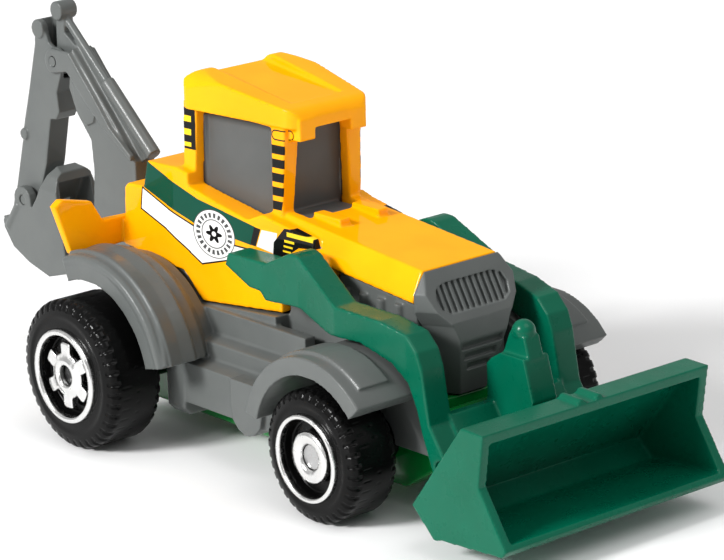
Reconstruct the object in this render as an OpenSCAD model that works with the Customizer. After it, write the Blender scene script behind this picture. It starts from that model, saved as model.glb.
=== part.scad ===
// Toy backhoe loader, about 73 mm long: die-cast body, moulded plastic trim, steel axles.
// +X points forward, +Y to the vehicle's left, +Z up. The origin is on the ground,
// under the middle of the bounding box.

/* [Wheels and axles] */
// Diameter of a rear wheel
rear_wheel_d = 12; // [9:0.1:15]
// Diameter of a front wheel
front_wheel_d = 10.2; // [8:0.1:12.6]
// Width of a rear tyre
rear_tyre_w = 4.8; // [3.8:0.1:5.8]
// Width of a front tyre
front_tyre_w = 4.3; // [3.4:0.1:5.2]
// Distance between the two axles
wheelbase = 26.6; // [22:0.1:33]
// Width over the rear tyres
rear_track = 29.9; // [28.2:0.1:36]
// Width over the front tyres
front_track = 25; // [23.6:0.1:30]
// Diameter of both axles
axle_d = 1.2; // [0.9:0.05:1.5]

/* [Body] */
// Width of the body casting at the back
body_w = 12.2; // [10.8:0.1:13]
// Width of the bonnet
hood_w = 9.4; // [8.6:0.1:10]
// Height of the roof above the rear axle
roof_h = 23.4; // [21:0.1:28]
// Wall of the body casting
wall = 1; // [0.7:0.05:1.3]
// Diameter of the two posts inside the body
post_d = 2.2; // [1.6:0.1:2.8]

/* [Loader] */
// Width over the loader bucket
bucket_w = 22.4; // [19:0.1:28]
// Wall of the loader bucket
bucket_wall = 0.8; // [0.6:0.05:1]
// Thickness of a loader arm, across the vehicle
arm_t = 2.2; // [1.8:0.05:2.7]
// Diameter of the pegs that the arms turn on
peg_d = 1.4; // [1.1:0.05:1.8]
// Diameter of the pins that the bucket turns on
pin_d = 1; // [0.8:0.05:1.3]

/* [Backhoe] */
// Thickness of the boom and the dipper
hoe_t = 2; // [1.7:0.05:2.5]
// Width over the backhoe bucket
hoe_bucket_w = 4.2; // [3.8:0.05:5.2]
// Diameter of the backhoe's hinge pins
hoe_pin_d = 0.8; // [0.6:0.05:1]
// Diameter of the upright swing pin
swing_pin_d = 1.2; // [0.9:0.05:1.5]

/* [Fits] */
// Radial clearance of everything that turns
run_gap = 0.05; // [0.03:0.01:0.08]
// Gap between neighbouring pieces that do not move
part_gap = 0.15; // [0.08:0.01:0.2]
// Gap beside pieces that turn
side_gap = 0.1; // [0.08:0.01:0.2]

/* [Hidden] */
$fn = 48;

// Heights of the body parts are measured from the rear axle, lengths from it too.
rear_r = rear_wheel_d / 2;
front_r = front_wheel_d / 2;
axle_r = axle_d / 2;
front_drop = front_r - rear_r;          // front axle relative to the rear axle
over = 0.5;                             // how far a cutter runs past what it cuts

// Stations along the vehicle
tail_x = -3.6;                          // back of the body casting
cab_back = 3.4;
cab_front = wheelbase - 12.6;
hood_front = wheelbase + 3.1;
nose_back = hood_front + part_gap;
nose_front = hood_front + 2.5;              // lower front face of the nose
base_front = nose_front + 0.8;
peg_x = wheelbase - 7.4;
peg_z = 10.4;
hub_x = wheelbase + 8.9;                // bucket pins
hub_z = -0.8;
lip_x = wheelbase + 19.8;               // front edge of the bucket
hoe_tail = -26.5;                       // back of the backhoe bucket
mid_x = (lip_x + hoe_tail) / 2;

// Heights
tray_z = 1.1;
tray_t = 1.5;
base_z = 1.4 - 6;                       // flat underside
base_t = 1.2;
skirt_z = [8.1, 7.4, 5.3, 6];           // lower edge of the casting, back to front
sill_z = 13;                            // bottom of the windows
roof_low = roof_h - 3;                  // underside of the roof

// Half widths
body_y = body_w / 2;
hood_y = hood_w / 2;
hood_flat = hood_y - 1.06;
base_y = 5;
inner_y = 5.3;                          // inner ends of the wheels' bosses
boss_r = 1.9;
fender_y = 12.5;                        // outer faces of the fenders
arm_in = [5.5, 5.6, 6.3, 5.4, 5.3];     // inner faces of the arms, back to front
bucket_y = bucket_w / 2;
lug_y = [arm_in[4] - 0.2 - 1, arm_in[4] - 0.2];

// Backhoe pivots, length and height
swing_x = -6.2;
boom_p = [-9.8, 4.8];
dipper_p = [-18.9, 19.8];
bucket_p = [-23.5, 7.2];
hoe_y = hoe_t / 2;
tongue_y = hoe_t / 2 - 0.5;
cheek_y = tongue_y + side_gap;
rib_y = hoe_y + side_gap + 0.3;          // outer faces of the boom's ribs

module place() { translate([-mid_x, 0, rear_r]) children(); }
module both_sides() { children(); mirror([0, 1, 0]) children(); }

// A side view outline, extruded across the vehicle from y0 to y1
module side_slab(outline, y0, y1) {
    translate([0, y1, 0]) rotate([90, 0, 0]) linear_extrude(height = y1 - y0) polygon(outline);
}
// A front view outline, extruded along the vehicle from x0 to x1
module front_slab(outline, x0, x1) {
    translate([x0, 0, 0]) rotate([90, 0, 90]) linear_extrude(height = x1 - x0) polygon(outline);
}
module plan_slab(outline, z0, z1) {
    translate([0, 0, z0]) linear_extrude(height = z1 - z0) polygon(outline);
}
module rod_y(r, y0, y1, x, z) {
    translate([x, y1, z]) rotate([90, 0, 0]) cylinder(r = r, h = y1 - y0);
}
module rod_z(r, z0, z1, x, y) { translate([x, y, z0]) cylinder(r = r, h = z1 - z0); }
module box(x0, x1, y0, y1, z0, z1) { translate([x0, y0, z0]) cube([x1 - x0, y1 - y0, z1 - z0]); }

function mirrored(pts) =
    concat(pts, [for (i = [len(pts) - 1 : -1 : 0]) [pts[i][0], -pts[i][1]]]);
function flipped(pts) =
    concat(pts, [for (i = [len(pts) - 1 : -1 : 0]) [-pts[i][0], pts[i][1]]]);
function arc(cx, cz, r, a0, a1, n = 6) =
    [for (i = [0 : n]) let (a = a0 + (a1 - a0) * i / n) [cx + r * cos(a), cz + r * sin(a)]];
function at(base, offsets) = [for (p = offsets) [base[0] + p[0], base[1] + p[1]]];

// Rectangle in side view between two radii of a wheel arch, from angle a0 to a1
module arch(cx, cz, r0, r1, y0, y1, a0, a1) {
    intersection() {
        difference() {
            rod_y(r1, y0, y1, cx, cz);
            rod_y(r0, y0 - over, y1 + over, cx, cz);
        }
        side_slab(concat([[cx, cz]], arc(cx, cz, r1 * 2, a0, a1, 8)), y0 - over, y1 + over);
    }
}

// ---- Body casting -------------------------------------------------------------

crease = [[-0.2, 15.6], [4.9, 13.4], [cab_front - 0.5, 12]];

function body_outline() = [
    [tail_x, skirt_z[0]], [tail_x + 0.3, 12.9], [tail_x + 0.7, 13.3], [-0.8, 13.4], crease[0],
    [cab_back, 15.7], [cab_front, 13.2], [peg_x - 0.6, 12.5], [peg_x, 9],
    [cab_front + 0.8, 9], [cab_front + 0.7, skirt_z[3]], [5.8, skirt_z[2]], [3.8, skirt_z[1]]];

function body_plan(inset = 0) = mirrored([
    [tail_x + inset, inset - body_y], [3, inset - body_y + 0.1], [8, inset - body_y + 0.5],
    [cab_front, inset - hood_y - 0.3], [peg_x + 0.6, inset - hood_y]]);

// Roof and posts taper towards the front and the top
function cab_plan(inset, shrink) = mirrored([
    [cab_back + inset, inset + shrink - 5.3],
    [cab_front - 0.1 + shrink * 1.7 - inset, inset + shrink * 0.5 - 3.98]]);

module cab_block(inset) {
    hull() {
        plan_slab(cab_plan(inset, 0), sill_z - 1, sill_z - 0.9);
        plan_slab(cab_plan(inset, 0.35), roof_low + 0.4, roof_low + 0.5);
    }
}

function hood_section(inset, z) = flipped([
    [-hood_y + inset, z - 2.3 - inset * 1.5], [-hood_y + inset, z - 2.1],
    [-hood_flat + inset * 0.6, z - inset * 0.9]]);

module hood_block(inset) {
    hull() {
        front_slab(hood_section(inset, 13.6), cab_front - 1, cab_front - 0.9);
        front_slab(hood_section(inset, 12.1), hood_front - 0.1 - inset, hood_front - inset);
    }
}

module roof() {
    side_view = concat(
        arc(cab_back + 1.6, roof_h - 1.6, 1.6, 180, 90), arc(cab_front + 0.6, roof_h - 2.7, 1.1, 78, -10),
        [[cab_front + 1.65, roof_low - 0.2], [cab_front + 0.4, roof_low - 0.1], [cab_back, roof_low]]);
    plan = mirrored(concat(
        arc(cab_back + 1.1, -4.25, 1.1, 180, 270), arc(cab_front + 0.35, -2.7, 1.3, 280, 360)));
    front_view = flipped(concat(
        [[-5.45, roof_low - 0.5]], arc(-3.55, roof_h - 1.9, 1.9, 180, 90)));
    difference() {
        intersection() {
            side_slab(side_view, -6, 6);
            plan_slab(plan, roof_low - 1, roof_h + 1);
            front_slab(front_view, 0, cab_front + 4);
        }
        // sunken panel between the two rails
        hull() {
            box(cab_back - 1, cab_back, -2.9, 2.9, roof_h - 0.45, roof_h + 1);
            box(cab_front - 0.3, cab_front - 0.2, -2.5, 2.5, roof_h - 1.6, roof_h + 1);
        }
    }
}

module side_window() {
    side_slab([[4.7, sill_z + 1.4], [4.9, roof_low + 0.5], [cab_front - 1, roof_low - 0.3],
               [cab_front - 1.1, sill_z + 0.5], [cab_front - 2.8, sill_z - 0.2]], -8, 8);
}

module windscreen() {
    front_slab(flipped([[-2.8, sill_z + 0.3], [-2.35, roof_low - 0.4]]), cab_front - 2, cab_front + 2);
}

// Shelf of the window insert that shows in front of the windscreen, or its opening
module dash(gap, z0, z1) {
    box(cab_front - 1.4, cab_front + 1.7 + gap, -2.6 - gap, 2.6 + gap, z0, z1);
}

module back_window() {
    front_slab(flipped([[-3.9, 16.4], [-3.6, roof_low - 0.4]]), cab_back - 1, cab_back + 2);
}

module wing() {
    // stabiliser, folded up, seen from the front
    front_slab([[-body_y + 0.5, 8.3], [-body_y + 0.5, 10.4], [-8, 10.5], [-9, 12.2], [-11.9, 12.9],
                [-12.6, 12.4], [-11.2, 8.3], [-10.4, 8]], tail_x - 0.9, tail_x - 0.1);
    box(tail_x - 0.9, tail_x + 0.6, -body_y + 0.4, -body_y + 1.6, 8.3, 10.4);
}

post_x = [2.2, peg_x + 1.6];

module posts(grow, z0, z1) { for (x = post_x) rod_z(post_d / 2 + grow, z0, z1, x, 0); }

module peg_boss(grow = 0) { rod_y(1.2 + grow, -hood_y - 0.5, -wall - 2.2, peg_x, peg_z); }

module body_shell() {
    difference() {
        union() {
            intersection() {
                side_slab(body_outline(), -body_y - 1, body_y + 1);
                plan_slab(body_plan(), 0, 20);
            }
            cab_block(0);
            hood_block(0);
            both_sides() peg_boss();
        }
        // hollow underside
        intersection() {
            side_slab([[tail_x + wall, 0], [tail_x + wall, 12], [cab_back + 0.8, 13],
                       [peg_x + 1, 12.5 - wall], [peg_x + 1, 0]], -body_y, body_y);
            plan_slab(body_plan(wall), -1, 20);
        }
        intersection() {
            cab_block(wall);
            box(cab_back, cab_front + 2, -6, 6, 5, roof_low - 0.3);
        }
        hood_block(wall);
        box(peg_x - 3, hood_front - wall, -hood_y + wall, hood_y - wall, 0, 9.8);
        side_window();
        windscreen();
        back_window();
        dash(part_gap, sill_z - 1.5, sill_z + 1);
        rod_y(peg_d / 2, -hood_y - 2, hood_y + 2, peg_x, peg_z);
    }
}

module body_casting() {
    place() color("gold") {
        body_shell();
        roof();
        both_sides() {
            difference() {
                wing();
                fender_arch(0, part_gap);
            }
            // lamp housings under the front of the roof
            box(cab_front + 0.3, cab_front + 1.7, -3.3, -1.75, roof_low - 1.1, roof_low + 0.6);
            // raised bars on the bonnet
            box(cab_front + 1.8, cab_front + 5, -2.4, -1.4, 12.6, 13.7);
        }
        // posts with their spread ends under the base
        for (x = post_x) {
            rod_z(post_d / 2, base_z + 0.5, x < cab_front ? 13 : 12.4, x, 0);
            rod_z(post_d / 2 + 0.45, base_z + 0.1, base_z + 0.5, x, 0);
        }
    }
}

// ---- Window insert -------------------------------------------------------------

module window_insert() {
    place() color("dimgray") {
        difference() {
            intersection() {
                cab_block(wall + part_gap);
                box(cab_back, cab_front + 2, -6, 6, 8, roof_low - 0.3 - part_gap);
            }
            intersection() {
                cab_block(wall * 2 + part_gap);
                box(cab_back, cab_front + 2, -6, 6, 5, roof_low - 1.2);
            }
        }
        dash(0, sill_z - 0.9, sill_z + 0.1);
    }
}

// ---- Fender moulding -------------------------------------------------------------

// Slot through the moulding for a wheel's boss
module axle_slot(x, z) {
    rod_y(boss_r + 0.4, -8, -inner_y + 0.15, x, z);
    box(x - boss_r - 0.4, x + boss_r + 0.4, -8, -inner_y + 0.15, z - 12, z);
}

well_y = body_y + part_gap;              // inner wall of the rear wheel well

// Ridged arch over the right rear wheel, from radius r0 out
module fender_arch(r0, grow) {
    ridges = [[2.9, fender_y], [3.1, fender_y - 0.3], [3.1, 11.8], [3.4, 11.6], [3.25, 10.4],
              [3.4, 9.2], [3.1, 9], [3, 8], [2.4, 7.2], [2.3, well_y]];
    intersection() {
        rotate([90, 0, 0]) rotate_extrude() polygon(concat([[r0, well_y], [r0, fender_y]],
            [for (p = ridges) [rear_r + p[0] + grow, p[1]]]));
        side_slab(concat([[0, 0]], arc(0, 0, rear_r * 3, 12, 112, 8)), -fender_y - over, 0);
    }
}

module rear_fender() {
    fender_arch(rear_r + 1.1, 0);
    arch(0, 0, 0.5, rear_r + 1.5, -well_y - 0.8, -well_y, 0, 109);
}

module front_fender() {
    r = front_r + 2.5;
    arch(wheelbase, front_drop, front_r + 1.1, r, -fender_y, -5.6, 41, 166);
    arch(wheelbase, front_drop, r - over, r + 0.25, -11.4, -8.6, 52, 125);
    arch(wheelbase, front_drop, 0.5, r - 0.4, -6.2, -5.4, 0, 180);
}

module steps_and_tank() {
    x0 = 5.2;
    x1 = wheelbase - front_r - 2.6;
    front_slab([[-5.2, tray_z], [-5.2, skirt_z[2] - part_gap], [-6.2, skirt_z[2] - part_gap],
                [-6.2, 3.2], [-7.4, 2.9], [-7.4, 1.6], [-8.8, 1.3], [-8.8, -2],
                [-7.8, -2], [-7.8, tray_z]], x0, x1);
    front_slab([[-8.9, 0.4], [-8.9, -2.6], [-8.3, -3.2], [-6.6, -3.2], [-6.4, 0.4]], x0 - 0.4, x0 + 1.8);
    side_slab(concat([[x1 - 5.6, 1.5]], arc(x1 - 3.7, -0.9, 1.9, 180, 360), [[x1 - 1.8, 1.5]]), -9.3, -6.4);
}

module engine_sides() {
    back = cab_front + 0.7 + part_gap;
    side_slab([[back, tray_z], [back, skirt_z[3]], [back + 0.2, 8.8], [peg_x + 1.6, 8.8], [peg_x + 1.8, 10.4],
               [hood_front, 9.6], [hood_front, tray_z]], -4.3, -3.5);
    for (i = [0 : 3]) rod_z(0.45, tray_z, 9.4, peg_x + 2.6 + i * 2, -4.3);
}

module swing_lug(z0, z1) {
    difference() {
        union() {
            box(swing_x, tail_x + 1, -1.6, 1.6, z0, z1);
            rod_z(1.6, z0, z1, swing_x, 0);
        }
        rod_z(swing_pin_d / 2 + 0.02, z0 - over, z1 + over, swing_x, 0);
    }
}

module fender_moulding() {
    place() color("gray") {
        difference() {
            union() {
                box(tail_x + 0.4, hood_front - 1, -5.6, 5.6, tray_z, tray_z + tray_t);
                box(tail_x + 0.4, cab_front - 7, -well_y - 0.5, well_y + 0.5, tray_z, tray_z + tray_t);
                both_sides() {
                    rear_fender();
                    front_fender();
                    steps_and_tank();
                    difference() {
                        engine_sides();
                        peg_boss(part_gap);
                    }
                    // walls up to the casting
                    side_slab([[tail_x, tray_z], [tail_x, skirt_z[0] - part_gap],
                               [3.7, skirt_z[1] - part_gap], [5.6, skirt_z[2] - part_gap],
                               [cab_front + 0.8, skirt_z[3] - part_gap], [cab_front + 0.8, tray_z]], -5.7, -4.3);
                }
                box(tail_x, tail_x + 1, -5.7, 5.7, tray_z, skirt_z[0] - part_gap);
                swing_lug(tray_z, 2.3);
                swing_lug(7, skirt_z[0] - 0.3);
            }
            posts(0.1, 0, 9);
            both_sides() {
                axle_slot(0, 0);
                axle_slot(wheelbase, front_drop);
            }
        }
    }
}

// ---- Nose ------------------------------------------------------------------------

nose_flare = 1.3;                        // how much wider each side is at the back

// Tapering block: a front view outline at the front, a wider one at the bonnet
module nose_block(outline) {
    hull() {
        front_slab(flipped(outline), nose_front, nose_front + 0.1);
        front_slab(flipped([for (p = outline) [p[0] - nose_flare, p[1]]]), nose_back, nose_back + 0.1);
    }
}

// Front view of the sunken grille, an oval with flattened ends
grille_oval = flipped([[-2.6, 9], [-3.3, 9.4], [-3.5, 10.1], [-3.2, 10.8], [-2.4, 11.1]]);

module nose_grille() {
    slats = 5;
    slat_pitch = 0.58;
    place() color("gray") {
        difference() {
            intersection() {
                union() {
                    nose_block([[-0.5, 2.3], [-2.8, 8.3]]);
                    nose_block([[-2.8, 8.2], [-3.5, 9.3], [-3.5, 10.6], [-hood_flat + nose_flare, 12.1]]);
                }
                side_slab([[nose_back, 2], [nose_back, 12.15], [nose_back + 0.45, 11.45],
                           [nose_front - 0.1, 8.4], [nose_front, 6.9], [nose_front - 1.4, 2]], -6, 6);
                front_slab(flipped([[-hood_y, 2], [-hood_y, 10.6], [-hood_flat, 12.15]]), nose_back, nose_front);
            }
            intersection() {
                side_slab([[nose_front - 2.4, 11.5], [nose_front - 0.5, 8.3], [nose_front + 1, 8.3],
                           [nose_front + 1, 11.5]], -4, 4);
                front_slab(grille_oval, nose_back, nose_front + 1);
            }
            for (i = [0 : 2]) side_slab(at([nose_front - 0.2 * i, 6.2 - 0.9 * i],
                [[-0.6, -0.1], [1, -0.1], [1, 0.45], [-0.3, 0.45]]), -2 + i * 0.45, 2 - i * 0.45);
        }
        intersection() {
            for (i = [-slats : slats]) side_slab([[nose_front - 2.5, 11.4], [nose_front - 0.7, 8.3],
                [nose_front - 0.2, 8.4], [nose_front - 1.9, 11.3]],
                i * slat_pitch - 0.15, i * slat_pitch + 0.15);
            front_slab(grille_oval, nose_back + 0.1, nose_front);
        }
    }
}

// ---- Base plate, axles and wheels ---------------------------------------------------

module bearing(x, z) {
    difference() {
        box(x - 1.8, x + 1.8, -base_y, base_y, base_z, z + 0.85);
        rod_y(axle_r + run_gap, -base_y - over, base_y + over, x, z);
    }
}

module base_plate() {
    place() color("green") {
        difference() {
            union() {
                difference() {
                    box(tail_x + 0.2, wheelbase + 2, -base_y, base_y, base_z, base_z + base_t);
                    rod_y(axle_r + run_gap, -6, 6, 0, 0);
                }
                bearing(0, 0);
                bearing(wheelbase, front_drop);
                // block in front of the axle, rising towards the bucket
                difference() {
                    side_slab([[wheelbase + 1.5, base_z], [wheelbase + 1.5, tray_z - 0.25],
                               [nose_back, tray_z - 0.25], [nose_back, 2.2], [base_front, 2.2],
                               [base_front, -1.9], [wheelbase + 2, base_z]], -base_y, base_y);
                    box(nose_back + 0.8, base_front - 0.8, -base_y + 1, base_y - 1, -0.8, 4);
                }
            }
            for (x = post_x) {
                rod_z(post_d / 2 + 0.03, base_z - over, 4, x, 0);
                rod_z(post_d / 2 + 0.5, base_z - over, base_z + 0.55, x, 0);
            }
        }
    }
}

// Steel rod with a round head at each end
module axle(x, z, track, sink) {
    end = track / 2 - sink;
    translate([x, 0, z]) rotate([90, 0, 0]) {
        cylinder(r = axle_r, h = end * 2, center = true);
        for (s = [-1, 1]) translate([0, 0, s * (end - 0.2)]) cylinder(r = axle_r * 1.55, h = 0.4, center = true);
    }
}

head_sink = 0.3;                         // heads lie this far inside the tyres' outer faces

module front_axle() { place() color("silver") axle(wheelbase, front_drop, front_track, head_sink); }
module rear_axle() { place() color("silver") axle(0, 0, rear_track, head_sink); }

rim_out = 0.5;                           // silver rims stand this far out of the tyres

// One wheel, moulded with its tyre. Width w; the bore runs along the axis,
// the dished face is at -Z. The boss reaches in to the base plate.
module wheel(r, w, track) {
    face = track / 2;
    dish = r * 0.63;
    rotate_extrude() polygon([
        [axle_r + run_gap, face - head_sink - 0.45], [dish * 0.4, face - head_sink - 0.45],
        [dish * 0.5, face - 0.4], [dish * 0.8, face - 0.7], [dish * 0.9, face - 0.1],
        [dish * 0.96, face + rim_out], [dish, face + rim_out], [r * 0.7, face + 0.1],
        [r * 0.88, face + 0.1], [r * 0.97, face - 0.1], [r, face - 0.45],
        [r, face - w + 0.6], [r * 0.95, face - w], [r * 0.7, face - w],
        [r * 0.66, face - w + 1], [boss_r, face - w + 1], [boss_r, inner_y],
        [axle_r + run_gap, inner_y]]);
}

module wheel_at(x, z, side, r, w, track) {
    place() color([0.1, 0.1, 0.1])
        translate([x, 0, z]) rotate([-90 * side, 0, 0]) wheel(r, w, track);
}

module wheel_front_right() { wheel_at(wheelbase, front_drop, -1, front_r, front_tyre_w, front_track); }
module wheel_front_left() { wheel_at(wheelbase, front_drop, 1, front_r, front_tyre_w, front_track); }
module wheel_rear_right() { wheel_at(0, 0, -1, rear_r, rear_tyre_w, rear_track); }
module wheel_rear_left() { wheel_at(0, 0, 1, rear_r, rear_tyre_w, rear_track); }

// ---- Loader --------------------------------------------------------------------------

module arm() {
    w = wheelbase;
    side_view = concat(
        [[w - 15.2, 9.8], [w - 14.8, 10.8], [w - 10.2, 10.9]], arc(w - 6.8, 10.4, 1.9, 120, 50, 4),
        [[w - 1.3, 9.5], [w + 3, 9.2], [w + 5.6, 8.6], [w + 6.7, 7.5], [w + 7.2, 6.2], [w + 7.5, 4.4],
         [w + 7.9, 2.2]],
        arc(hub_x, hub_z, 1, 60, -165, 8),
        [[w + 7, 1.4], [w + 6.5, 3.1], [w + 5.6, 5], [w + 4.1, 6.2], [w + 1, 7.2], [w - 2.4, 7.2],
         [w - 6.2, 8.2], [w - 7.8, 8.1], [w - 10.4, 7.9], [w - 11, 8.5], [w - 12.4, 8.6]]);
    inner = [[w - 16, arm_in[0]], [w - 6.4, arm_in[1]], [w - 1.4, arm_in[2]], [w + 5.6, arm_in[3]],
             [w + 12, arm_in[4]]];
    plan = concat([for (p = inner) [p[0], -p[1]]],
                  [for (i = [len(inner) - 1 : -1 : 0]) [inner[i][0], -inner[i][1] - arm_t]]);
    difference() {
        intersection() {
            side_slab(side_view, -10, -4);
            plan_slab(plan, -4, 16);
        }
        rod_y(peg_d / 2 + run_gap, -7.1, -4, peg_x, peg_z);
        rod_y(pin_d / 2 + 0.02, -10, -4, hub_x, hub_z);
    }
}

module lever() {
    w = wheelbase;
    knob_r = 0.9;
    side_slab([[w + 7.1, 1.2], [w + 7.1, 5.4], [w + 7.6, 5.9], [w + 8.6, 6.5], [w + 11.2, 6.5],
               [w + 12.1, 3.4], [w + 11.3, 1.2]], -1.2, 1.2);
    side_slab([[w + 8.4, 6.3], [w + 9.2, 8.2], [w + 10.8, 8], [w + 11.3, 6.3]], -0.75, 0.75);
    translate([w + 9.95, 0, 8.2]) sphere(r = knob_r);
}

module loader_arms() {
    w = wheelbase;
    place() color("seagreen") {
        both_sides() arm();
        side_slab([[w + 7.1, 1.2], [w + 7.1, 2.6], [w + 7.9, 2.6], [w + 8.8, 1.2]],
                  -arm_in[4] - 0.3, arm_in[4] + 0.3);
        lever();
    }
}

module loader_pegs() {
    place() color("silver") both_sides() rod_y(peg_d / 2 - 0.02, wall + 2, 7, peg_x, peg_z);
}

module loader_bucket() {
    w = wheelbase;
    outer = [[w + 15.4, 4.8], [w + 17.7, 4.7], [w + 17.1, 0.7], [lip_x, -3.4], [lip_x - 0.4, -3.9],
             [w + 12.9, -4.3], [w + 12.2, -4.5], [w + 9.9, -2.3]];
    inner = [[w + 21, 3.9], [w + 15.9, 3.9], [w + 15.5, 3.3], [w + 11, -2.3], [w + 12.5, -3.6],
             [w + 13.2, -3.6], [w + 21, -2.9]];
    place() color("seagreen") difference() {
        union() {
            difference() {
                side_slab(outer, -bucket_y, bucket_y);
                side_slab(inner, -bucket_y + bucket_wall, bucket_y - bucket_wall);
            }
            // lugs for the pins
            both_sides() difference() {
                union() {
                    rod_y(1.1, -lug_y[1], -lug_y[0], hub_x, hub_z);
                    side_slab([[hub_x, hub_z - 1.1], [w + 10.6, -1.9], [w + 12.2, 0.4],
                               [hub_x, hub_z + 1.1]], -lug_y[1], -lug_y[0]);
                }
            }
            // knobs along the top edge
            for (y = [-1.55, 0.2]) translate([w + 15.5, y, 4.75]) rotate([0, 92, 0])
                cylinder(r = 0.42, h = 2.1);
        }
        rod_y(pin_d / 2 + run_gap, -lug_y[1] - over, lug_y[1] + over, hub_x, hub_z);
    }
}

module bucket_pins() {
    place() color("seagreen") both_sides()
        rod_y(pin_d / 2, -arm_in[4] - arm_t + 0.2, -lug_y[0] + 0.2, hub_x, hub_z);
}

// ---- Backhoe --------------------------------------------------------------------------

module swing_bracket() {
    place() color("gray") difference() {
        union() {
            rod_z(1.6, 2.3 + side_gap, 7 - side_gap, swing_x, 0);
            side_slab(concat([[swing_x, 2.6], [swing_x, 6.7]], arc(boom_p[0], boom_p[1], 1.4, 100, 260)),
                      -1.6, 1.6);
        }
        rod_z(swing_pin_d / 2 + run_gap, 0, 9, swing_x, 0);
        // fork for the boom
        box(boom_p[0] - 3, swing_x - 1.2, -hoe_y - side_gap, hoe_y + side_gap, 2, 9);
        rod_y(hoe_pin_d / 2 + 0.02, -3, 3, boom_p[0], boom_p[1]);
    }
}

module swing_pin() {
    place() color("silver") rod_z(swing_pin_d / 2, tray_z + 0.1, 8, swing_x, 0);
}

module boom_pin() {
    place() color("gray") rod_y(hoe_pin_d / 2, -1.6, 1.6, boom_p[0], boom_p[1]);
}

module dipper_pin() {
    place() color("gray") rod_y(hoe_pin_d / 2, -rib_y, rib_y, dipper_p[0], dipper_p[1]);
}

module hoe_bucket_pin() {
    place() color("gray") rod_y(hoe_pin_d / 2, -1.95, 1.95, bucket_p[0], bucket_p[1]);
}

web_y = 0.35;                            // half thickness of the web under it
ram_from = [-7.3, 13.6];
ram_to = [-18.7, 23.5];

// Barrel and rod moulded along the top of the boom
module ram() {
    d = ram_to - ram_from;
    length = norm(d);
    translate([ram_from[0], 0, ram_from[1]]) rotate([0, atan2(d[0], d[1]), 0]) {
        cylinder(r = 0.62, h = length * 0.52);
        cylinder(r = 0.36, h = length);
    }
}

module hoe_boom() {
    plate = concat(
        [[-8.6, 13], [-8.7, 7]], arc(boom_p[0], boom_p[1], 1.3, 10, -100, 5),
        [[-12.6, 3.6], [-14.2, 4.6], [-14.8, 7.3], [-14.4, 11.2], [-14.6, 13.8], [-16.4, 15.8],
         [-17.3, 17.8], [-17, 19.4], [-16.6, 21.2]]);
    tongue = concat(arc(dipper_p[0], dipper_p[1], 1.2, 180, 300, 6), [[-16.6, 19], [-16.6, 21.2],
             [-18.2, 22.2], [-18.2, 24], [-19.3, 24], [-19.4, 20.9]]);
    place() color("gray") difference() {
        union() {
            side_slab(plate, -hoe_y, hoe_y);
            side_slab(tongue, -tongue_y, tongue_y);
            ram();
            // thin web between the plate and the ram
            side_slab([[-8.7, 12.8], [ram_from[0], ram_from[1]], [-16.7, 21.8], [-16.8, 20.5]], -web_y, web_y);
            // outer straps over the dipper's cheeks
            both_sides() side_slab(concat(arc(dipper_p[0], dipper_p[1], 1.1, 100, 250, 6),
                [[-17.1, 19.2], [-16.6, 20.9]]), -rib_y, -hoe_y - side_gap);
            rod_y(0.8, -0.85, 0.85, -18.8, 24);
            // stiffening rib along the middle of the plate
            both_sides() side_slab([[-16.6, 20.9], [-17.1, 19.3], [-14.6, 17], [-12.5, 15.3], [-8.7, 13],
                                    [-8.7, 13.5], [-11.4, 15.4], [-13.3, 17.5]], -rib_y, -hoe_y + 0.1);
        }
        both_sides() rod_y(1.75, -hoe_y - side_gap, -tongue_y, dipper_p[0], dipper_p[1]);
        rod_y(hoe_pin_d / 2 + run_gap, -3, 3, dipper_p[0], dipper_p[1]);
        rod_y(hoe_pin_d / 2 + run_gap, -3, 3, boom_p[0], boom_p[1]);
    }
}

dip_end = 2.5;                           // reach of the dipper's heel around its lower pin

module hoe_dipper() {
    outline = concat(
        [[-21.9, 20.7], [-21.7, 22.4], [-20.6, 22.9], [-19.9, 21.2]],
        arc(dipper_p[0], dipper_p[1], 1.15, 110, -60, 8),
        [[-19.1, 17], [-18.9, 15.4], [-19.4, 14.7], [-20.2, 14.6], [-21.2, 10.5], [-22.1, 8.3]],
        arc(bucket_p[0], bucket_p[1], 1.1, 20, -100, 6), arc(bucket_p[0], bucket_p[1], dip_end, -130, -175, 3));
    place() color("gray") difference() {
        union() {
            side_slab(outline, -hoe_y, hoe_y);
            rod_y(0.8, -1.2, 1.2, -21.1, 22.2);
            // ram moulded along the back
            rod_y(0.5, -1.2, 1.2, -24, 12.7);
            side_slab([[-21.6, 20.8], [-24.2, 12.6], [-24.9, 12.8], [-22.2, 21]], -0.6, 0.6);
        }
        rod_y(1.5, -cheek_y, cheek_y, dipper_p[0], dipper_p[1]);
        box(-21.3, -17, -cheek_y, cheek_y, dipper_p[1], 26);
        rod_y(hoe_pin_d / 2 + 0.02, -3, 3, dipper_p[0], dipper_p[1]);
        rod_y(hoe_pin_d / 2 + 0.02, -3, 3, bucket_p[0], bucket_p[1]);
    }
}

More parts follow.
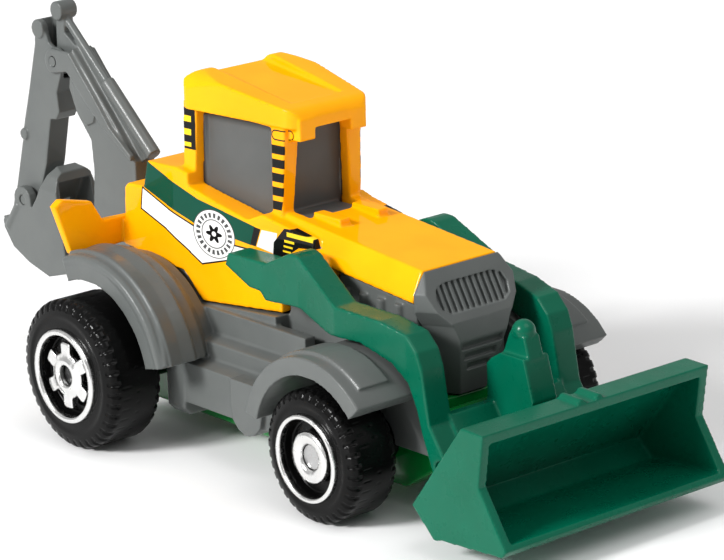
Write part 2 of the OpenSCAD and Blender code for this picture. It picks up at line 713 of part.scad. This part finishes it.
module hoe_bucket() {
    half = hoe_bucket_w / 2;
    ear = 0.8;
    shell = [[-23.6, 4.9], [-21.4, 7.8], [-19.8, 10.6], [-18.7, 10.3], [-18.3, 7], [-17.4, 1.9],
             [-20.2, 1.1], [-23, 1.8], [-25.2, 2.8], [-26.4, 4.3], [-26.5, 5]];
    inside = [[-22.9, 4.6], [-20.7, 7.5], [-19.6, 9.5], [-17, 9.5], [-16, 2.5], [-20.2, 1.8],
              [-22.8, 2.5], [-24.4, 3.3], [-24.6, 4.4]];
    place() color("gray") difference() {
        union() {
            difference() {
                intersection() {
                    side_slab(shell, -half, half);
                    front_slab(flipped([[-half, 0], [-half, 8.7], [-half + 0.35, 9.9], [-half + 1.3, 10.7]]),
                               bucket_p[0] - 4, 0);
                }
                side_slab(inside, -half + 0.45, half - 0.45);
            }
            both_sides() side_slab(concat(arc(bucket_p[0], bucket_p[1], 1.2, 10, 190, 8),
                [[-25.2, 5.4], [-26.4, 5.3], [-26.3, 4.2], [-25.2, 3.6], [-22.2, 4.6]]), -half, -half + ear);
        }
        // room for the end of the dipper
        rod_y(dip_end + side_gap, -hoe_y - side_gap, hoe_y + side_gap, bucket_p[0], bucket_p[1]);
        rod_y(hoe_pin_d / 2 + run_gap, -3, 3, bucket_p[0], bucket_p[1]);
    }
}

body_casting();
window_insert();
fender_moulding();
nose_grille();
base_plate();
front_axle();
rear_axle();
wheel_front_right();
wheel_front_left();
wheel_rear_right();
wheel_rear_left();
loader_arms();
loader_pegs();
loader_bucket();
bucket_pins();
swing_bracket();
swing_pin();
hoe_boom();
boom_pin();
hoe_dipper();
dipper_pin();
hoe_bucket();
hoe_bucket_pin();
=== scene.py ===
import math

import bmesh
import bpy
from mathutils import Matrix, Vector


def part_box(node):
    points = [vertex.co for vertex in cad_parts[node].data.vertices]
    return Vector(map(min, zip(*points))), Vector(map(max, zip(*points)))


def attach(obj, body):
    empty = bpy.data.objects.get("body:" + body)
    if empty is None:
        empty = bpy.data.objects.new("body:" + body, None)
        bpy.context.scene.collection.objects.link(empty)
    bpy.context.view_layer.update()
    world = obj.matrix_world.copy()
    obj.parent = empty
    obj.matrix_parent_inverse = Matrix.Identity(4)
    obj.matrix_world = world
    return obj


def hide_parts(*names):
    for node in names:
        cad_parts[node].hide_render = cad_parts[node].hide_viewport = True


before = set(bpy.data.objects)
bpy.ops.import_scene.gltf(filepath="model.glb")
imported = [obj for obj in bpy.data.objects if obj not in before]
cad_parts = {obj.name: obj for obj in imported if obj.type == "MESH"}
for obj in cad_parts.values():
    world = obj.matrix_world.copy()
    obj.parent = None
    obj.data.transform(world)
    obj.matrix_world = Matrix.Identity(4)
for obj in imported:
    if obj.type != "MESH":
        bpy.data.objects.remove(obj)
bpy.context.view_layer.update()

# Lengths are in mm and measured from the rear axle, unless a line says otherwise.
WHEELBASE = 26.6
R_REAR, R_FRONT = 6.0, 5.1
axle_low, axle_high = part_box("rear_axle")
SETBACK = -(axle_low[0] + axle_high[0]) / 2 * 1000      # the rear axle lies this far behind the origin


# ---- materials ------------------------------------------------------------------------

BLACK, WHITE = (0.006, 0.006, 0.006), (0.82, 0.82, 0.8)
DARK_GREEN = (0.0, 0.06, 0.035)
BADGE_RIM, BADGE_TICK, BADGE_LINE = (0.05, 0.05, 0.05), (0.07, 0.07, 0.07), (0.1, 0.1, 0.1)
BAR_YELLOW, MARK_YELLOW = (0.9, 0.6, 0.02), (0.95, 0.6, 0.02)
NOISE_LOW, NOISE_HIGH = 0.35, 0.65                      # the middle part of a noise, which is spread to 0..1


class Mat:
    """A principled material with short helpers for its node tree."""

    def __init__(self, name, color, rough, metal=0.0, coat=0.0, coat_rough=0.05):
        self.mat = bpy.data.materials.new(name)
        self.mat.use_nodes = True
        self.nt = self.mat.node_tree
        self.b = self.nt.nodes["Principled BSDF"]
        self.b.inputs["Base Color"].default_value = (*color, 1)
        self.b.inputs["Roughness"].default_value = rough
        self.b.inputs["Metallic"].default_value = metal
        self.b.inputs["IOR"].default_value = 1.5
        self.b.inputs["Coat Weight"].default_value = coat
        self.b.inputs["Coat Roughness"].default_value = coat_rough
        self.pos = None

    def specular(self, level):
        self.b.inputs["Specular IOR Level"].default_value = level

    def node(self, kind, **values):
        n = self.nt.nodes.new(kind)
        for k, v in values.items():
            setattr(n, k, v)
        return n

    def link(self, a, b):
        self.nt.links.new(a, b)

    def xyz(self):
        """Object coordinates from the rear axle: x, y, z and the vector, as four sockets."""
        if self.pos is None:
            tc = self.node("ShaderNodeTexCoord")
            sc = self.node("ShaderNodeVectorMath", operation="MULTIPLY_ADD")
            sc.inputs[1].default_value = (1000, 1000, 1000)
            sc.inputs[2].default_value = (SETBACK, 0, -R_REAR)
            self.link(tc.outputs["Object"], sc.inputs[0])
            sep = self.node("ShaderNodeSeparateXYZ")
            self.link(sc.outputs[0], sep.inputs[0])
            self.pos = (sep.outputs[0], sep.outputs[1], sep.outputs[2], sc.outputs[0])
        return self.pos

    def math(self, op, a, b=None, c=None):
        """One math node; each operand is a number or a socket."""
        n = self.node("ShaderNodeMath", operation=op)
        for i, v in enumerate((a, b, c)):
            if v is None:
                continue
            if isinstance(v, (int, float)):
                n.inputs[i].default_value = v
            else:
                self.link(v, n.inputs[i])
        return n.outputs[0]

    def minus(self, a, b):
        return self.math("SUBTRACT", a, b)

    def fold(self, op, items):
        out = items[0]
        for i in items[1:]:
            out = self.math(op, out, i)
        return out

    def least(self, items):
        return self.fold("MINIMUM", items)

    def most(self, items):
        return self.fold("MAXIMUM", items)

    def between(self, v, lo, hi):
        """How far v lies inside lo..hi: positive inside."""
        return self.least([self.minus(v, lo), self.minus(hi, v)])

    def inside(self, outline, u, v):
        """How far (u, v) lies inside a convex outline: positive inside."""
        area = sum(a[0] * b[1] - b[0] * a[1] for a, b in zip(outline, outline[1:] + outline[:1]))
        pts = outline if area > 0 else outline[::-1]
        sides = []
        for a, b in zip(pts, pts[1:] + pts[:1]):
            d = (b[0] - a[0], b[1] - a[1])
            n = math.hypot(*d)
            nx, ny = -d[1] / n, d[0] / n
            t = self.math("MULTIPLY_ADD", u, nx, -(nx * a[0] + ny * a[1]))
            sides.append(self.math("MULTIPLY_ADD", v, ny, t))
        return self.least(sides)

    def inside_any(self, outlines, u, v):
        return self.most([self.inside(o, u, v) for o in outlines])

    def radius(self, u, v):
        return self.math("SQRT", self.math("ADD", self.math("MULTIPLY", u, u),
                                           self.math("MULTIPLY", v, v)))

    def step(self, d, soft=0.03):
        """0 where d is negative and 1 where it is positive, over a soft edge this wide."""
        n = self.node("ShaderNodeMath", operation="MULTIPLY_ADD", use_clamp=True)
        self.link(d, n.inputs[0])
        n.inputs[1].default_value = 1 / soft
        n.inputs[2].default_value = 0.5
        return n.outputs[0]

    def noise(self, scale, detail=3.0):
        n = self.node("ShaderNodeTexNoise")
        n.inputs["Scale"].default_value = scale
        n.inputs["Detail"].default_value = detail
        n.inputs["Roughness"].default_value = 0.5
        self.link(self.xyz()[3], n.inputs["Vector"])
        return n.outputs["Fac"]

    def ramp(self, fac, lo, hi, a, b):
        """Maps fac from lo..hi to a..b."""
        n = self.node("ShaderNodeMapRange")
        self.link(fac, n.inputs[0])
        for i, v in enumerate((lo, hi, a, b)):
            n.inputs[i + 1].default_value = v
        return n.outputs[0]

    def mix(self, fac, a, b):
        """From a to b, each of them a colour or a socket."""
        n = self.node("ShaderNodeMix", data_type="RGBA")
        ins = [s for s in n.inputs if s.enabled]
        self.link(fac, ins[0])
        for s, v in ((ins[1], a), (ins[2], b)):
            if isinstance(v, tuple):
                s.default_value = (*v, 1)
            else:
                self.link(v, s)
        return [o for o in n.outputs if o.enabled][0]

    def bump(self, height, strength, distance):
        n = self.node("ShaderNodeBump")
        n.inputs["Strength"].default_value = strength
        n.inputs["Distance"].default_value = distance / 1000
        self.link(height, n.inputs["Height"])
        self.link(n.outputs[0], self.b.inputs["Normal"])

    def tone(self, a, b, scale):
        """Slow mottling between two colours."""
        fac = self.ramp(self.noise(scale), NOISE_LOW, NOISE_HIGH, 0, 1)
        self.link(self.mix(fac, a, b), self.b.inputs["Base Color"])

    def wear(self, scale, a, b):
        """Slow change of roughness between a and b."""
        self.link(self.ramp(self.noise(scale), NOISE_LOW, NOISE_HIGH, a, b), self.b.inputs["Roughness"])


def plastic(name, a, b, rough, coat, specular=None):
    m = Mat(name, a, rough, coat=coat, coat_rough=0.12)
    m.tone(a, b, 0.25)
    m.wear(0.8, rough - 0.05, rough + 0.07)
    m.bump(m.noise(6.0, 4.0), 0.12, 0.03)
    if specular is not None:
        m.specular(specular)
    return m


def stripes(m, x, z, lay):
    """Along the flank: a green band on the crease, and below it a white one that drops to a point."""
    band = m.inside_any([
        [(-0.85, 13.44), (-0.25, 15.6), (2.41, 14.66), (2.23, 12.43)],
        [(2.31, 14.66), (2.13, 12.43), (5.17, 11.56), (5.69, 13.56)],
        [(5.59, 13.56), (5.07, 11.56), (9.1, 11.12), (8.7, 13.03)],
        [(8.6, 13.03), (9.0, 11.12), (11.6, 10.86), (12.06, 12.38)]], x, z)
    lay(m.step(m.math("ADD", band, 0.02)), DARK_GREEN)
    lay(m.step(m.inside([(11.5, 10.88), (12.0, 12.38), (12.7, 12.3), (12.1, 10.82)], x, z)), BLACK)
    lay(m.step(m.inside([(12.2, 10.86), (12.8, 12.26), (14.5, 12.29), (14.1, 10.58)], x, z)), WHITE)
    point = m.inside_any([
        [(-0.86, 13.2), (2.2, 12.07), (2.08, 10.49), (-1.11, 11.59)],
        [(2.1, 12.07), (5.2, 11.19), (4.85, 9.1), (1.98, 10.49)],
        [(5.1, 11.19), (9.37, 10.41), (9.11, 9.29), (6.01, 8.44), (4.75, 9.1)],
        [(9.27, 10.41), (13.95, 10.35), (12.86, 10.06), (9.01, 9.29)]], x, z)
    lay(m.step(m.math("ADD", point, 0.16)), BLACK)
    lay(m.step(m.math("ADD", point, 0.02)), WHITE)


def badge(m, x, z, lay):
    """Oval badge: a plain ring of ticks round a six-armed figure, with its rim at r = 1."""
    middle_x, middle_z, half_x, half_z = 7.5, 11.02, 2.35, 1.95
    u = m.math("DIVIDE", m.minus(x, middle_x), half_x)
    v = m.math("DIVIDE", m.minus(z, middle_z), half_z)
    r = m.radius(u, v)
    angle = m.math("ARCTAN2", v, u)
    ticks = m.math("SINE", m.math("MULTIPLY", angle, 22.0))
    arms = m.math("COSINE", m.math("MULTIPLY", angle, 6.0))
    lay(m.step(m.minus(1.0, r), 0.02), BADGE_RIM)
    lay(m.step(m.minus(0.96, r), 0.02), WHITE)
    ring = m.least([m.between(r, 0.66, 0.86), m.math("MULTIPLY_ADD", ticks, 0.1, 0.02)])
    lay(m.step(ring, 0.03), BADGE_TICK)
    lay(m.step(m.between(r, 0.55, 0.6), 0.02), BADGE_LINE)
    figure = m.minus(m.math("MULTIPLY_ADD", arms, 0.09, 0.3), r)
    lay(m.step(figure, 0.02), BLACK)
    lay(m.step(m.minus(0.1, r), 0.02), WHITE)


def bonnet_panel(m, x, z, lay, shoulder):
    """Black panel with a cut corner at the back of the bonnet, with plain yellow bars."""
    label = m.inside_any([
        [(14.08, 11.53), (15.33, 12.82), (17.0, 12.95), (16.9, 11.56), (15.18, 10.47), (13.92, 10.22)],
        [(15.33, 12.82), (19.0, 13.08), (18.93, 11.8), (16.83, 11.56)]], x, z)
    lay(m.step(label), BLACK, shoulder)
    for x0, x1, z0, z1 in ((15.6, 18.5, 12.25, 12.6), (15.3, 16.4, 11.75, 11.95),
                           (15.2, 16.2, 11.35, 11.5), (15.1, 16.0, 10.95, 11.1)):
        bar = m.least([m.between(x, x0, x1), m.between(z, z0, z1)])
        lay(m.step(bar), BAR_YELLOW, shoulder)


def pillar_marks(m, x, z, lay):
    """Bars on the front pillars, an outlined oval above them, dark panels on the rear pillars."""
    pitch, top, bottom = 1.1, 18.88, 13.55
    row = m.math("FRACT", m.math("DIVIDE", m.minus(top, z), pitch))
    front_edge = m.math("MULTIPLY_ADD", z, 0.2, 11.15)
    bars = m.least([m.between(row, 0.02, 0.66), m.between(z, bottom, top), m.between(x, 12.7, front_edge)])
    lay(m.step(bars, 0.04), BLACK)
    along, above = m.math("ABSOLUTE", m.minus(x, 14.0)), m.minus(z, 19.65)
    oval = m.radius(m.math("MAXIMUM", m.minus(along, 0.5), 0.0), above)
    lay(m.step(m.between(oval, 0.31, 0.42), 0.03), BLACK)
    panel = m.least([m.minus(4.75, x), m.between(z, 17.1, 20.4)])
    lay(m.step(panel), BLACK)
    slot = m.math("FRACT", m.math("MULTIPLY", z, 0.95))
    mark = m.least([m.minus(4.3, x), m.between(slot, 0.3, 0.75), m.between(z, 17.3, 20.2)])
    lay(m.step(mark, 0.04), MARK_YELLOW)


def body_paint():
    """Yellow enamel with its printed marks, alike on both sides."""
    m = Mat("yellow_enamel", (1.0, 0.4, 0.0), 0.3, coat=0.35, coat_rough=0.05)
    m.specular(0.0)
    m.wear(0.6, 0.25, 0.34)
    m.bump(m.noise(1.2, 2.0), 0.04, 0.05)
    x, y, z, _ = m.xyz()

    # marks go on what faces sideways, short of the wings; the bonnet's panel goes on all of its shoulder
    geo = m.node("ShaderNodeNewGeometry")
    sep = m.node("ShaderNodeSeparateXYZ")
    m.link(geo.outputs["Normal"], sep.inputs[0])
    outwards = m.math("MULTIPLY", sep.outputs[1], m.math("SIGN", y))
    side = m.step(m.minus(outwards, 0.3), 0.02)
    width = m.math("ABSOLUTE", y)
    flank = m.math("MULTIPLY", side, m.step(m.minus(7.0, width)))
    shoulder = m.step(m.minus(width, 4.25))

    enamel = m.mix(m.ramp(m.noise(0.15), 0.4, 0.6, 0, 1), (1.0, 0.385, 0.001), (1.0, 0.42, 0.002))
    layers = [enamel]

    def lay(mask, colour, where=flank):
        layers.append(m.mix(m.math("MULTIPLY", mask, where), layers[-1], colour))

    stripes(m, x, z, lay)
    badge(m, x, z, lay)
    bonnet_panel(m, x, z, lay, shoulder)
    pillar_marks(m, x, z, lay)
    m.link(layers[-1], m.b.inputs["Base Color"])
    return m


# ---- moulded pieces -------------------------------------------------------------------

def mm(p):
    """A point from the rear axle, as a point from the origin."""
    return (p[0] - SETBACK, p[1], p[2] + R_REAR)


def close(bm, rings):
    """Faces between neighbouring rings of vertices, with a cap on each end."""
    n = len(rings[0])
    faces = [bm.faces.new(rings[0]), bm.faces.new(rings[-1])]
    for a, b in zip(rings, rings[1:]):
        for i in range(n):
            j = (i + 1) % n
            faces.append(bm.faces.new((a[i], a[j], b[j], b[i])))
    bmesh.ops.recalc_face_normals(bm, faces=faces)


def add_prism(bm, outline, axis, start, end):
    """Closed prism: outline in the plane across axis, from start to end along it."""
    def at(u, v, w):
        return mm((u, w, v) if axis == "y" else (u, v, w))
    close(bm, [[bm.verts.new(at(u, v, w)) for u, v in outline] for w in (start, end)])


def add_tube(bm, start, end, radius):
    """Round bar from start to end; the smoothing rounds its ends."""
    corners = 28
    a, b = Vector(mm(start)), Vector(mm(end))
    turn = (b - a).to_track_quat("Z", "Y")
    angles = [2 * math.pi * i / corners for i in range(corners)]
    close(bm, [[bm.verts.new(c + turn @ Vector((radius * math.cos(t), radius * math.sin(t), 0)))
                for t in angles] for c in (a, b)])


def add_bend(bm, centre, bend_radius, y0, y1, radius, a0, a1):
    """Round bar bent about the axis (x, z) = centre, from angle a0 at y0 to angle a1 at y1."""
    lengths, corners = 60, 14
    rings = []
    for i in range(lengths + 1):
        t = math.radians(a0 + (a1 - a0) * i / lengths)
        y = y0 + (y1 - y0) * i / lengths
        ring = []
        for j in range(corners):
            q = 2 * math.pi * j / corners
            d = bend_radius + radius * math.cos(q)
            ring.append(bm.verts.new(mm((centre[0] + d * math.cos(t), y + radius * math.sin(q),
                                         centre[1] + d * math.sin(t)))))
        rings.append(ring)
    close(bm, rings)


def add_part(bm, part):
    """part is ("y" or "z", outline, start, end), ("tube", ...) or ("bend", ...)."""
    if part[0] == "tube":
        add_tube(bm, *part[1:])
    elif part[0] == "bend":
        add_bend(bm, *part[1:])
    else:
        add_prism(bm, part[1], part[0], part[2], part[3])


def both(parts):
    """The parts and their mirror images across the vehicle."""
    out = []
    for p in parts:
        out.append(p)
        if p[0] == "y":
            out.append(("y", p[1], -p[3], -p[2]))
        elif p[0] == "z":
            out.append(("z", [(u, -v) for u, v in p[1]], p[2], p[3]))
        elif p[0] == "tube":
            a, b = p[1], p[2]
            out.append(("tube", (a[0], -a[1], a[2]), (b[0], -b[1], b[2]), *p[3:]))
        else:
            out.append((*p[:3], -p[3], -p[4], *p[5:]))
    return out


def new_object(name, me):
    ob = bpy.data.objects.new(name, me)
    bpy.context.scene.collection.objects.link(ob)
    return ob


def solid(name, node, parts):
    """The CAD node's mesh in mm, with parts added to it."""
    bm = bmesh.new()
    bm.from_mesh(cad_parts[node].data)
    bmesh.ops.transform(bm, matrix=Matrix.Scale(1000, 4), verts=bm.verts)
    bmesh.ops.remove_doubles(bm, verts=bm.verts, dist=1e-4)
    for p in parts:
        add_part(bm, p)
    me = bpy.data.meshes.new(name)
    bm.to_mesh(me)
    bm.free()
    return new_object(name, me)


def apply(ob):
    """Gives the object the mesh that its modifiers make."""
    dg = bpy.context.evaluated_depsgraph_get()
    me = bpy.data.meshes.new_from_object(ob.evaluated_get(dg))
    ob.modifiers.clear()
    old = ob.data
    ob.data = me
    bpy.data.meshes.remove(old)


def soft(name, node, body, mat, add=(), voxel=0.1, rounds=6, keep=0.4):
    """A moulded piece: the CAD node's shape with added parts, every edge rounded."""
    ob = solid(name, node, add)
    r = ob.modifiers.new("r", "REMESH")
    r.mode = "VOXEL"
    r.voxel_size = voxel
    r.use_smooth_shade = True
    apply(ob)
    s = ob.modifiers.new("s", "SMOOTH")
    s.factor, s.iterations = 0.5, rounds
    d = ob.modifiers.new("d", "DECIMATE")
    d.ratio = keep
    apply(ob)
    finish(ob, mat, body, node)


def finish(ob, mat, body, node=None):
    """Back to metres, with its material, on its body."""
    ob.data.transform(Matrix.Scale(0.001, 4))
    ob.data.materials.clear()
    ob.data.materials.append(mat.mat)
    for p in ob.data.polygons:
        p.use_smooth = True
    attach(ob, body)
    if node:
        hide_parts(node)


def paint(node, mat):
    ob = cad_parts[node]
    ob.data.materials.clear()
    ob.data.materials.append(mat.mat)


# ---- wheels ---------------------------------------------------------------------------

BORE, BOSS, BOSS_END = 0.66, 1.9, 5.35                  # radii of axle hole and inner boss, and the boss's end
SHOULDER_CUT, OUTER_SLOT, INNER_SLOT = 0.14, 0.035, 0.03    # depths of the notches and of both rows of slots
SLOPE = 0.06                                            # how much of a lug each side of a notch takes up
TYRE_CORNERS, STAR_CORNERS, RIM_CORNERS = 480, 360, 96


def grid_mesh(name, rings):
    """Surface through rings of points; each ring closes on itself, and the last joins the first."""
    n = len(rings[0])
    verts = [p for r in rings for p in r]
    starts = [i * n for i in range(len(rings))]
    faces = []
    for here, there in zip(starts, starts[1:]):
        for j in range(n):
            k = (j + 1) % n
            faces.append((here + j, here + k, there + k, there + j))
    for j in range(n):
        k = (j + 1) % n
        faces.append((starts[-1] + j, starts[-1] + k, k, j))
    me = bpy.data.meshes.new(name)
    me.from_pydata(verts, [], faces)
    bm = bmesh.new()
    bm.from_mesh(me)
    bmesh.ops.recalc_face_normals(bm, faces=bm.faces)
    bm.to_mesh(me)
    bm.free()
    return new_object(name, me)


def circle(x, z, side, corners, radius_at, y):
    """Points round an axle at (x, z), with z and the result measured from the ground."""
    ring = []
    for i in range(corners):
        t = 2 * math.pi * i / corners
        q = radius_at(t)
        ring.append((x - SETBACK + q * math.cos(t), side * y, z + q * math.sin(t)))
    return ring


def dense(profile):
    """The profile with extra points, so that its stretches are short."""
    longest = 0.12
    out = []
    for a, b in zip(profile, profile[1:]):
        n = max(1, int(math.hypot(b[0] - a[0], b[1] - a[1]) / longest))
        out += [(a[0] + (b[0] - a[0]) * i / n, a[1] + (b[1] - a[1]) * i / n) for i in range(n)]
    return out + [profile[-1]]


def pulse(phase, width):
    """1 near phase 0.5 and 0 beyond width from it, with sloping sides."""
    return max(0.0, min(1.0, (width - abs(phase - 0.5)) / SLOPE))


def tread_cut(phase, depth, width):
    """How deep the tread is cut at this phase of a lug and this depth in from the tyre's face."""
    if depth < 0.75 or depth > width - 0.6:
        return SHOULDER_CUT * pulse(phase, 0.2)
    if 1.0 < depth < 1.75:
        return OUTER_SLOT * pulse((phase + 0.5) % 1, 0.1)
    if 2.3 < depth < 2.6:
        return INNER_SLOT * pulse(phase, 0.12)
    return 0.0


def wheel(name, node, body, x, side, r, width, face, lugs, rim, mat):
    """Tyre and barrel as one moulded piece, with lug notches round both shoulders."""
    back = face - width
    profile = dense([
        (BORE, face - 0.85), (rim * 0.5, face - 0.85), (rim * 0.84, face - 0.75), (rim * 0.9, face - 0.1),
        (rim, face + 0.1), (r * 0.74, face + 0.05), (r * 0.80, face + 0.1), (r * 0.88, face + 0.02),
        (r * 0.955, face - 0.14), (r * 0.985, face - 0.32), (r, face - 0.55), (r, face - width * 0.5),
        (r, back + 0.5), (r * 0.97, back + 0.12), (r * 0.93, back), (r * 0.7, back),
        (r * 0.66, back + 0.9), (BOSS, back + 0.9), (BOSS, BOSS_END), (BORE, BOSS_END)])
    rings = []
    for pr, py in profile:
        def radius_at(t):
            if pr <= r * 0.9:
                return pr
            return pr - tread_cut((t * lugs / (2 * math.pi)) % 1, face - py, width)
        rings.append(circle(x, r, side, TYRE_CORNERS, radius_at, py))
    finish(grid_mesh(name, rings), mat, body, node)


def revolve(name, profile, x, z, side):
    """The profile of (radius, y) points, turned about the axle at (x, z)."""
    return grid_mesh(name, [circle(x, z, side, RIM_CORNERS, lambda t: pr, py) for pr, py in profile])


def star(name, x, z, side, face, outer, inner, hub, lobes, phase):
    """Flat lobed star with rounded edges and a raised ring round its hub."""
    ring_end = hub + 0.55
    steepness, shift = 9, 0.05

    def edge(t, trim):
        c = math.cos(lobes * (t - phase))
        s = 1 / (1 + math.exp(-steepness * (c - shift)))
        return inner + (outer - inner) * s - trim

    rings = [circle(x, z, side, STAR_CORNERS, lambda t: q, face + up)
             for q, up in ((hub, -0.30), (hub, 0.12), (hub + 0.12, 0.2), (hub + 0.42, 0.2), (ring_end, 0.1))]
    for share, up, trim in ((0.5, 0.06, 0.0), (1.0, 0.04, 0.14), (1.0, 0.0, 0.04), (1.0, -0.1, 0.0),
                            (1.0, -0.4, 0.0)):
        rings.append(circle(x, z, side, STAR_CORNERS,
                            lambda t: ring_end + (edge(t, trim) - ring_end) * share, face + up))
    return grid_mesh(name, rings)


# ---- build ----------------------------------------------------------------------------

yellow = body_paint()
gray = plastic("gray_plastic", (0.097, 0.105, 0.102), (0.108, 0.116, 0.112), 0.36, 0.08, 0.3)
gray_pane = plastic("gray_pane", (0.078, 0.083, 0.082), (0.088, 0.093, 0.092), 0.4, 0.08, 0.25)
green = plastic("green_plastic", (0.0, 0.098, 0.052), (0.0, 0.11, 0.06), 0.3, 0.1, 0.16)
base_green = plastic("clear_green", (0.0, 0.14, 0.02), (0.0, 0.19, 0.03), 0.2, 0.4)
black = plastic("black_plastic", (0.002, 0.002, 0.002), (0.004, 0.004, 0.004), 0.2, 0.03, 0.1)
silver = Mat("silver_foil", (0.78, 0.78, 0.77), 0.2, metal=1.0)
silver.wear(2.0, 0.14, 0.3)
silver.bump(silver.noise(3.0), 0.08, 0.03)
# painted shade: near-black steel for the rear axle's head, so that it reads as the shadow inside the hub's
# hole
hole_shadow_steel = Mat("hole_shadow_steel", (0.08, 0.08, 0.08), 0.35, metal=1.0)
hole_shadow_steel.wear(3.0, 0.3, 0.45)
steel = Mat("steel", (0.5, 0.5, 0.5), 0.3, metal=1.0)
steel.wear(3.0, 0.25, 0.4)

soft("body_shell", "body_casting", "tractor", yellow, rounds=9)

# strips that close the gaps beside the panes, behind the cab's pillars
edge_strips = both([("z", [(3.5, -4.32), (5.0, -4.08), (5.0, -3.4), (3.5, -3.4)], 12.3, 19.9),
                    ("z", [(11.9, -3.3), (12.72, -3.3), (12.72, -2.6), (11.9, -2.6)], 12.3, 19.6)])
soft("panes", "window_insert", "tractor", gray_pane, add=edge_strips)

# two ridges that run round each rear fender, and a bead on its outer rim
ridges = both([("bend", (0, 0), R_REAR + 3.0, -11.9, -10.2, 0.3, 13, 108),
               ("bend", (0, 0), R_REAR + 2.95, -10.3, -8.8, 0.3, 13, 106),
               ("bend", (0, 0), R_REAR + 2.62, -12.36, -12.36, 0.22, 12, 111)])
soft("fenders", "fender_moulding", "tractor", gray, add=ridges, rounds=4, keep=0.2)
soft("nose", "nose_grille", "tractor", gray, voxel=0.06, rounds=4)
soft("underside_pan", "base_plate", "tractor", base_green, voxel=0.12)
soft("arms", "loader_arms", "loader", green)
soft("scoop_shell", "loader_bucket", "scoop", green)
soft("swing_block", "swing_bracket", "swing", gray)

# raised pads on the sides of the boom
pads = both([("y", [(-16.6, 18.5), (-16.3, 16.5), (-15.7, 15.4), (-14.8, 15.0), (-13.9, 15.4), (-13.3, 16.8)],
              -1.2, -0.8)])
soft("boom_arm", "hoe_boom", "boom", gray, add=pads, voxel=0.08)
soft("dipper_arm", "hoe_dipper", "dipper", gray, voxel=0.08)

# the bucket's link: two side bars and the cross bar that joins them
link = both([("tube", (-24.2, -1.75, 6.7), (-25.9, -1.75, 4.4), 0.5)])
link.append(("tube", (-25.8, -1.9, 4.3), (-25.8, 1.9, 4.3), 0.65))
soft("digging_shell", "hoe_bucket", "digging_bucket", gray, add=link, voxel=0.08)

for n in ("front_axle", "loader_pegs", "swing_pin"):
    paint(n, steel)
# painted shade: the rear axle is dark to stand in for the shadow in the hole of each rear hub
paint("rear_axle", hole_shadow_steel)
for n in ("boom_pin", "dipper_pin", "hoe_bucket_pin"):
    paint(n, gray)
paint("bucket_pins", green)

REAR_RIM = [(3.3, 14.8), (3.3, 15.3), (3.36, 15.42), (3.7, 15.43), (3.78, 15.3), (3.78, 14.8)]
FRONT_RIM = [(3.0, 12.4), (3.0, 12.85), (3.06, 12.95), (3.3, 12.96), (3.36, 12.85), (3.36, 12.4)]
FRONT_DISC = [(1.0, 12.1), (1.0, 12.42), (1.15, 12.5), (1.5, 12.6), (1.9, 12.55), (2.0, 12.4), (2.0, 12.1)]

for side, word in ((-1, "right"), (1, "left")):
    rear, front = "rear_" + word + "_wheel", "front_" + word + "_wheel"
    wheel("rear_tyre_" + word, "wheel_rear_" + word, rear, 0, side,
          r=R_REAR, width=4.8, face=14.95, lugs=40, rim=3.78, mat=black)
    finish(revolve("rear_rim_" + word, REAR_RIM, 0, R_REAR, side), silver, rear)
    hub = star("rear_star_" + word, 0, R_REAR, side, face=15.0, outer=2.7, inner=1.85, hub=0.85,
               lobes=6, phase=math.radians(30))
    finish(hub, silver, rear)
    wheel("front_tyre_" + word, "wheel_front_" + word, front, WHEELBASE, side,
          r=R_FRONT, width=4.3, face=12.5, lugs=36, rim=3.36, mat=black)
    for piece, profile in (("front_rim_", FRONT_RIM), ("front_disc_", FRONT_DISC)):
        finish(revolve(piece + word, profile, WHEELBASE, R_FRONT, side), silver, front)


# ---- stage, light and camera ----------------------------------------------------------
# Places and sizes here are in metres from the origin.

bpy.ops.mesh.primitive_plane_add(size=3, location=(0, 0, 0))
floor = bpy.context.object
floor.name = "floor"
floor_white = Mat("floor", (0.95, 0.95, 0.95), 0.6)
floor_white.tone((0.94, 0.94, 0.94), (0.96, 0.96, 0.96), 0.02)
floor.data.materials.append(floor_white.mat)

scene = bpy.context.scene
world = bpy.data.worlds.new("studio")
scene.world = world
world.use_nodes = True
background = world.node_tree.nodes["Background"]
background.inputs[0].default_value = (1, 1, 1, 1)
background.inputs[1].default_value = 0.5
scene.view_settings.view_transform = "Standard"


def sun(name, direction, strength, spread):
    """A sun that shines from direction, spread degrees wide."""
    d = bpy.data.lights.new(name, "SUN")
    d.energy, d.angle = strength, math.radians(spread)
    new_object(name, d).rotation_euler = Vector(direction).to_track_quat("Z", "Y").to_euler()


def disk_light(name, place, aim, size, power):
    d = bpy.data.lights.new(name, "AREA")
    d.shape, d.size, d.energy = "DISK", size, power
    o = new_object(name, d)
    o.location = place
    o.rotation_euler = (Vector(aim) - Vector(place)).to_track_quat("-Z", "Y").to_euler()


sun("key", (-0.06, -0.32, 0.19), 3.1, 14)
sun("top", (0.16, 0.03, 0.3), 0.75, 40)
disk_light("side_box", (0.02, -0.3, 0.2), (0, 0, 0.012), 0.07, 0.25)

AZIMUTH, ELEVATION, ROLL = math.radians(50.12), math.radians(16.61), math.radians(-1.97)
DISTANCE = 0.2851
AIM = ((13.43 - SETBACK) / 1000, 0.00417, 0.01238)
back = Vector((math.sin(AZIMUTH) * math.cos(ELEVATION), -math.cos(AZIMUTH) * math.cos(ELEVATION),
               math.sin(ELEVATION)))
right = (-back).cross(Vector((0, 0, 1))).normalized()
up = right.cross(-back)
right, up = (right * math.cos(ROLL) + up * math.sin(ROLL),
             -right * math.sin(ROLL) + up * math.cos(ROLL))
cam = bpy.data.cameras.new("cam")
cam.sensor_width, cam.lens = 36.0, 181.3
cam.clip_start, cam.clip_end = 0.01, 10
camera = new_object("cam", cam)
turned = Matrix((right, up, back)).transposed()
camera.matrix_world = Matrix.Translation(Vector(AIM) + back * DISTANCE) @ turned.to_4x4()
scene.camera = camera
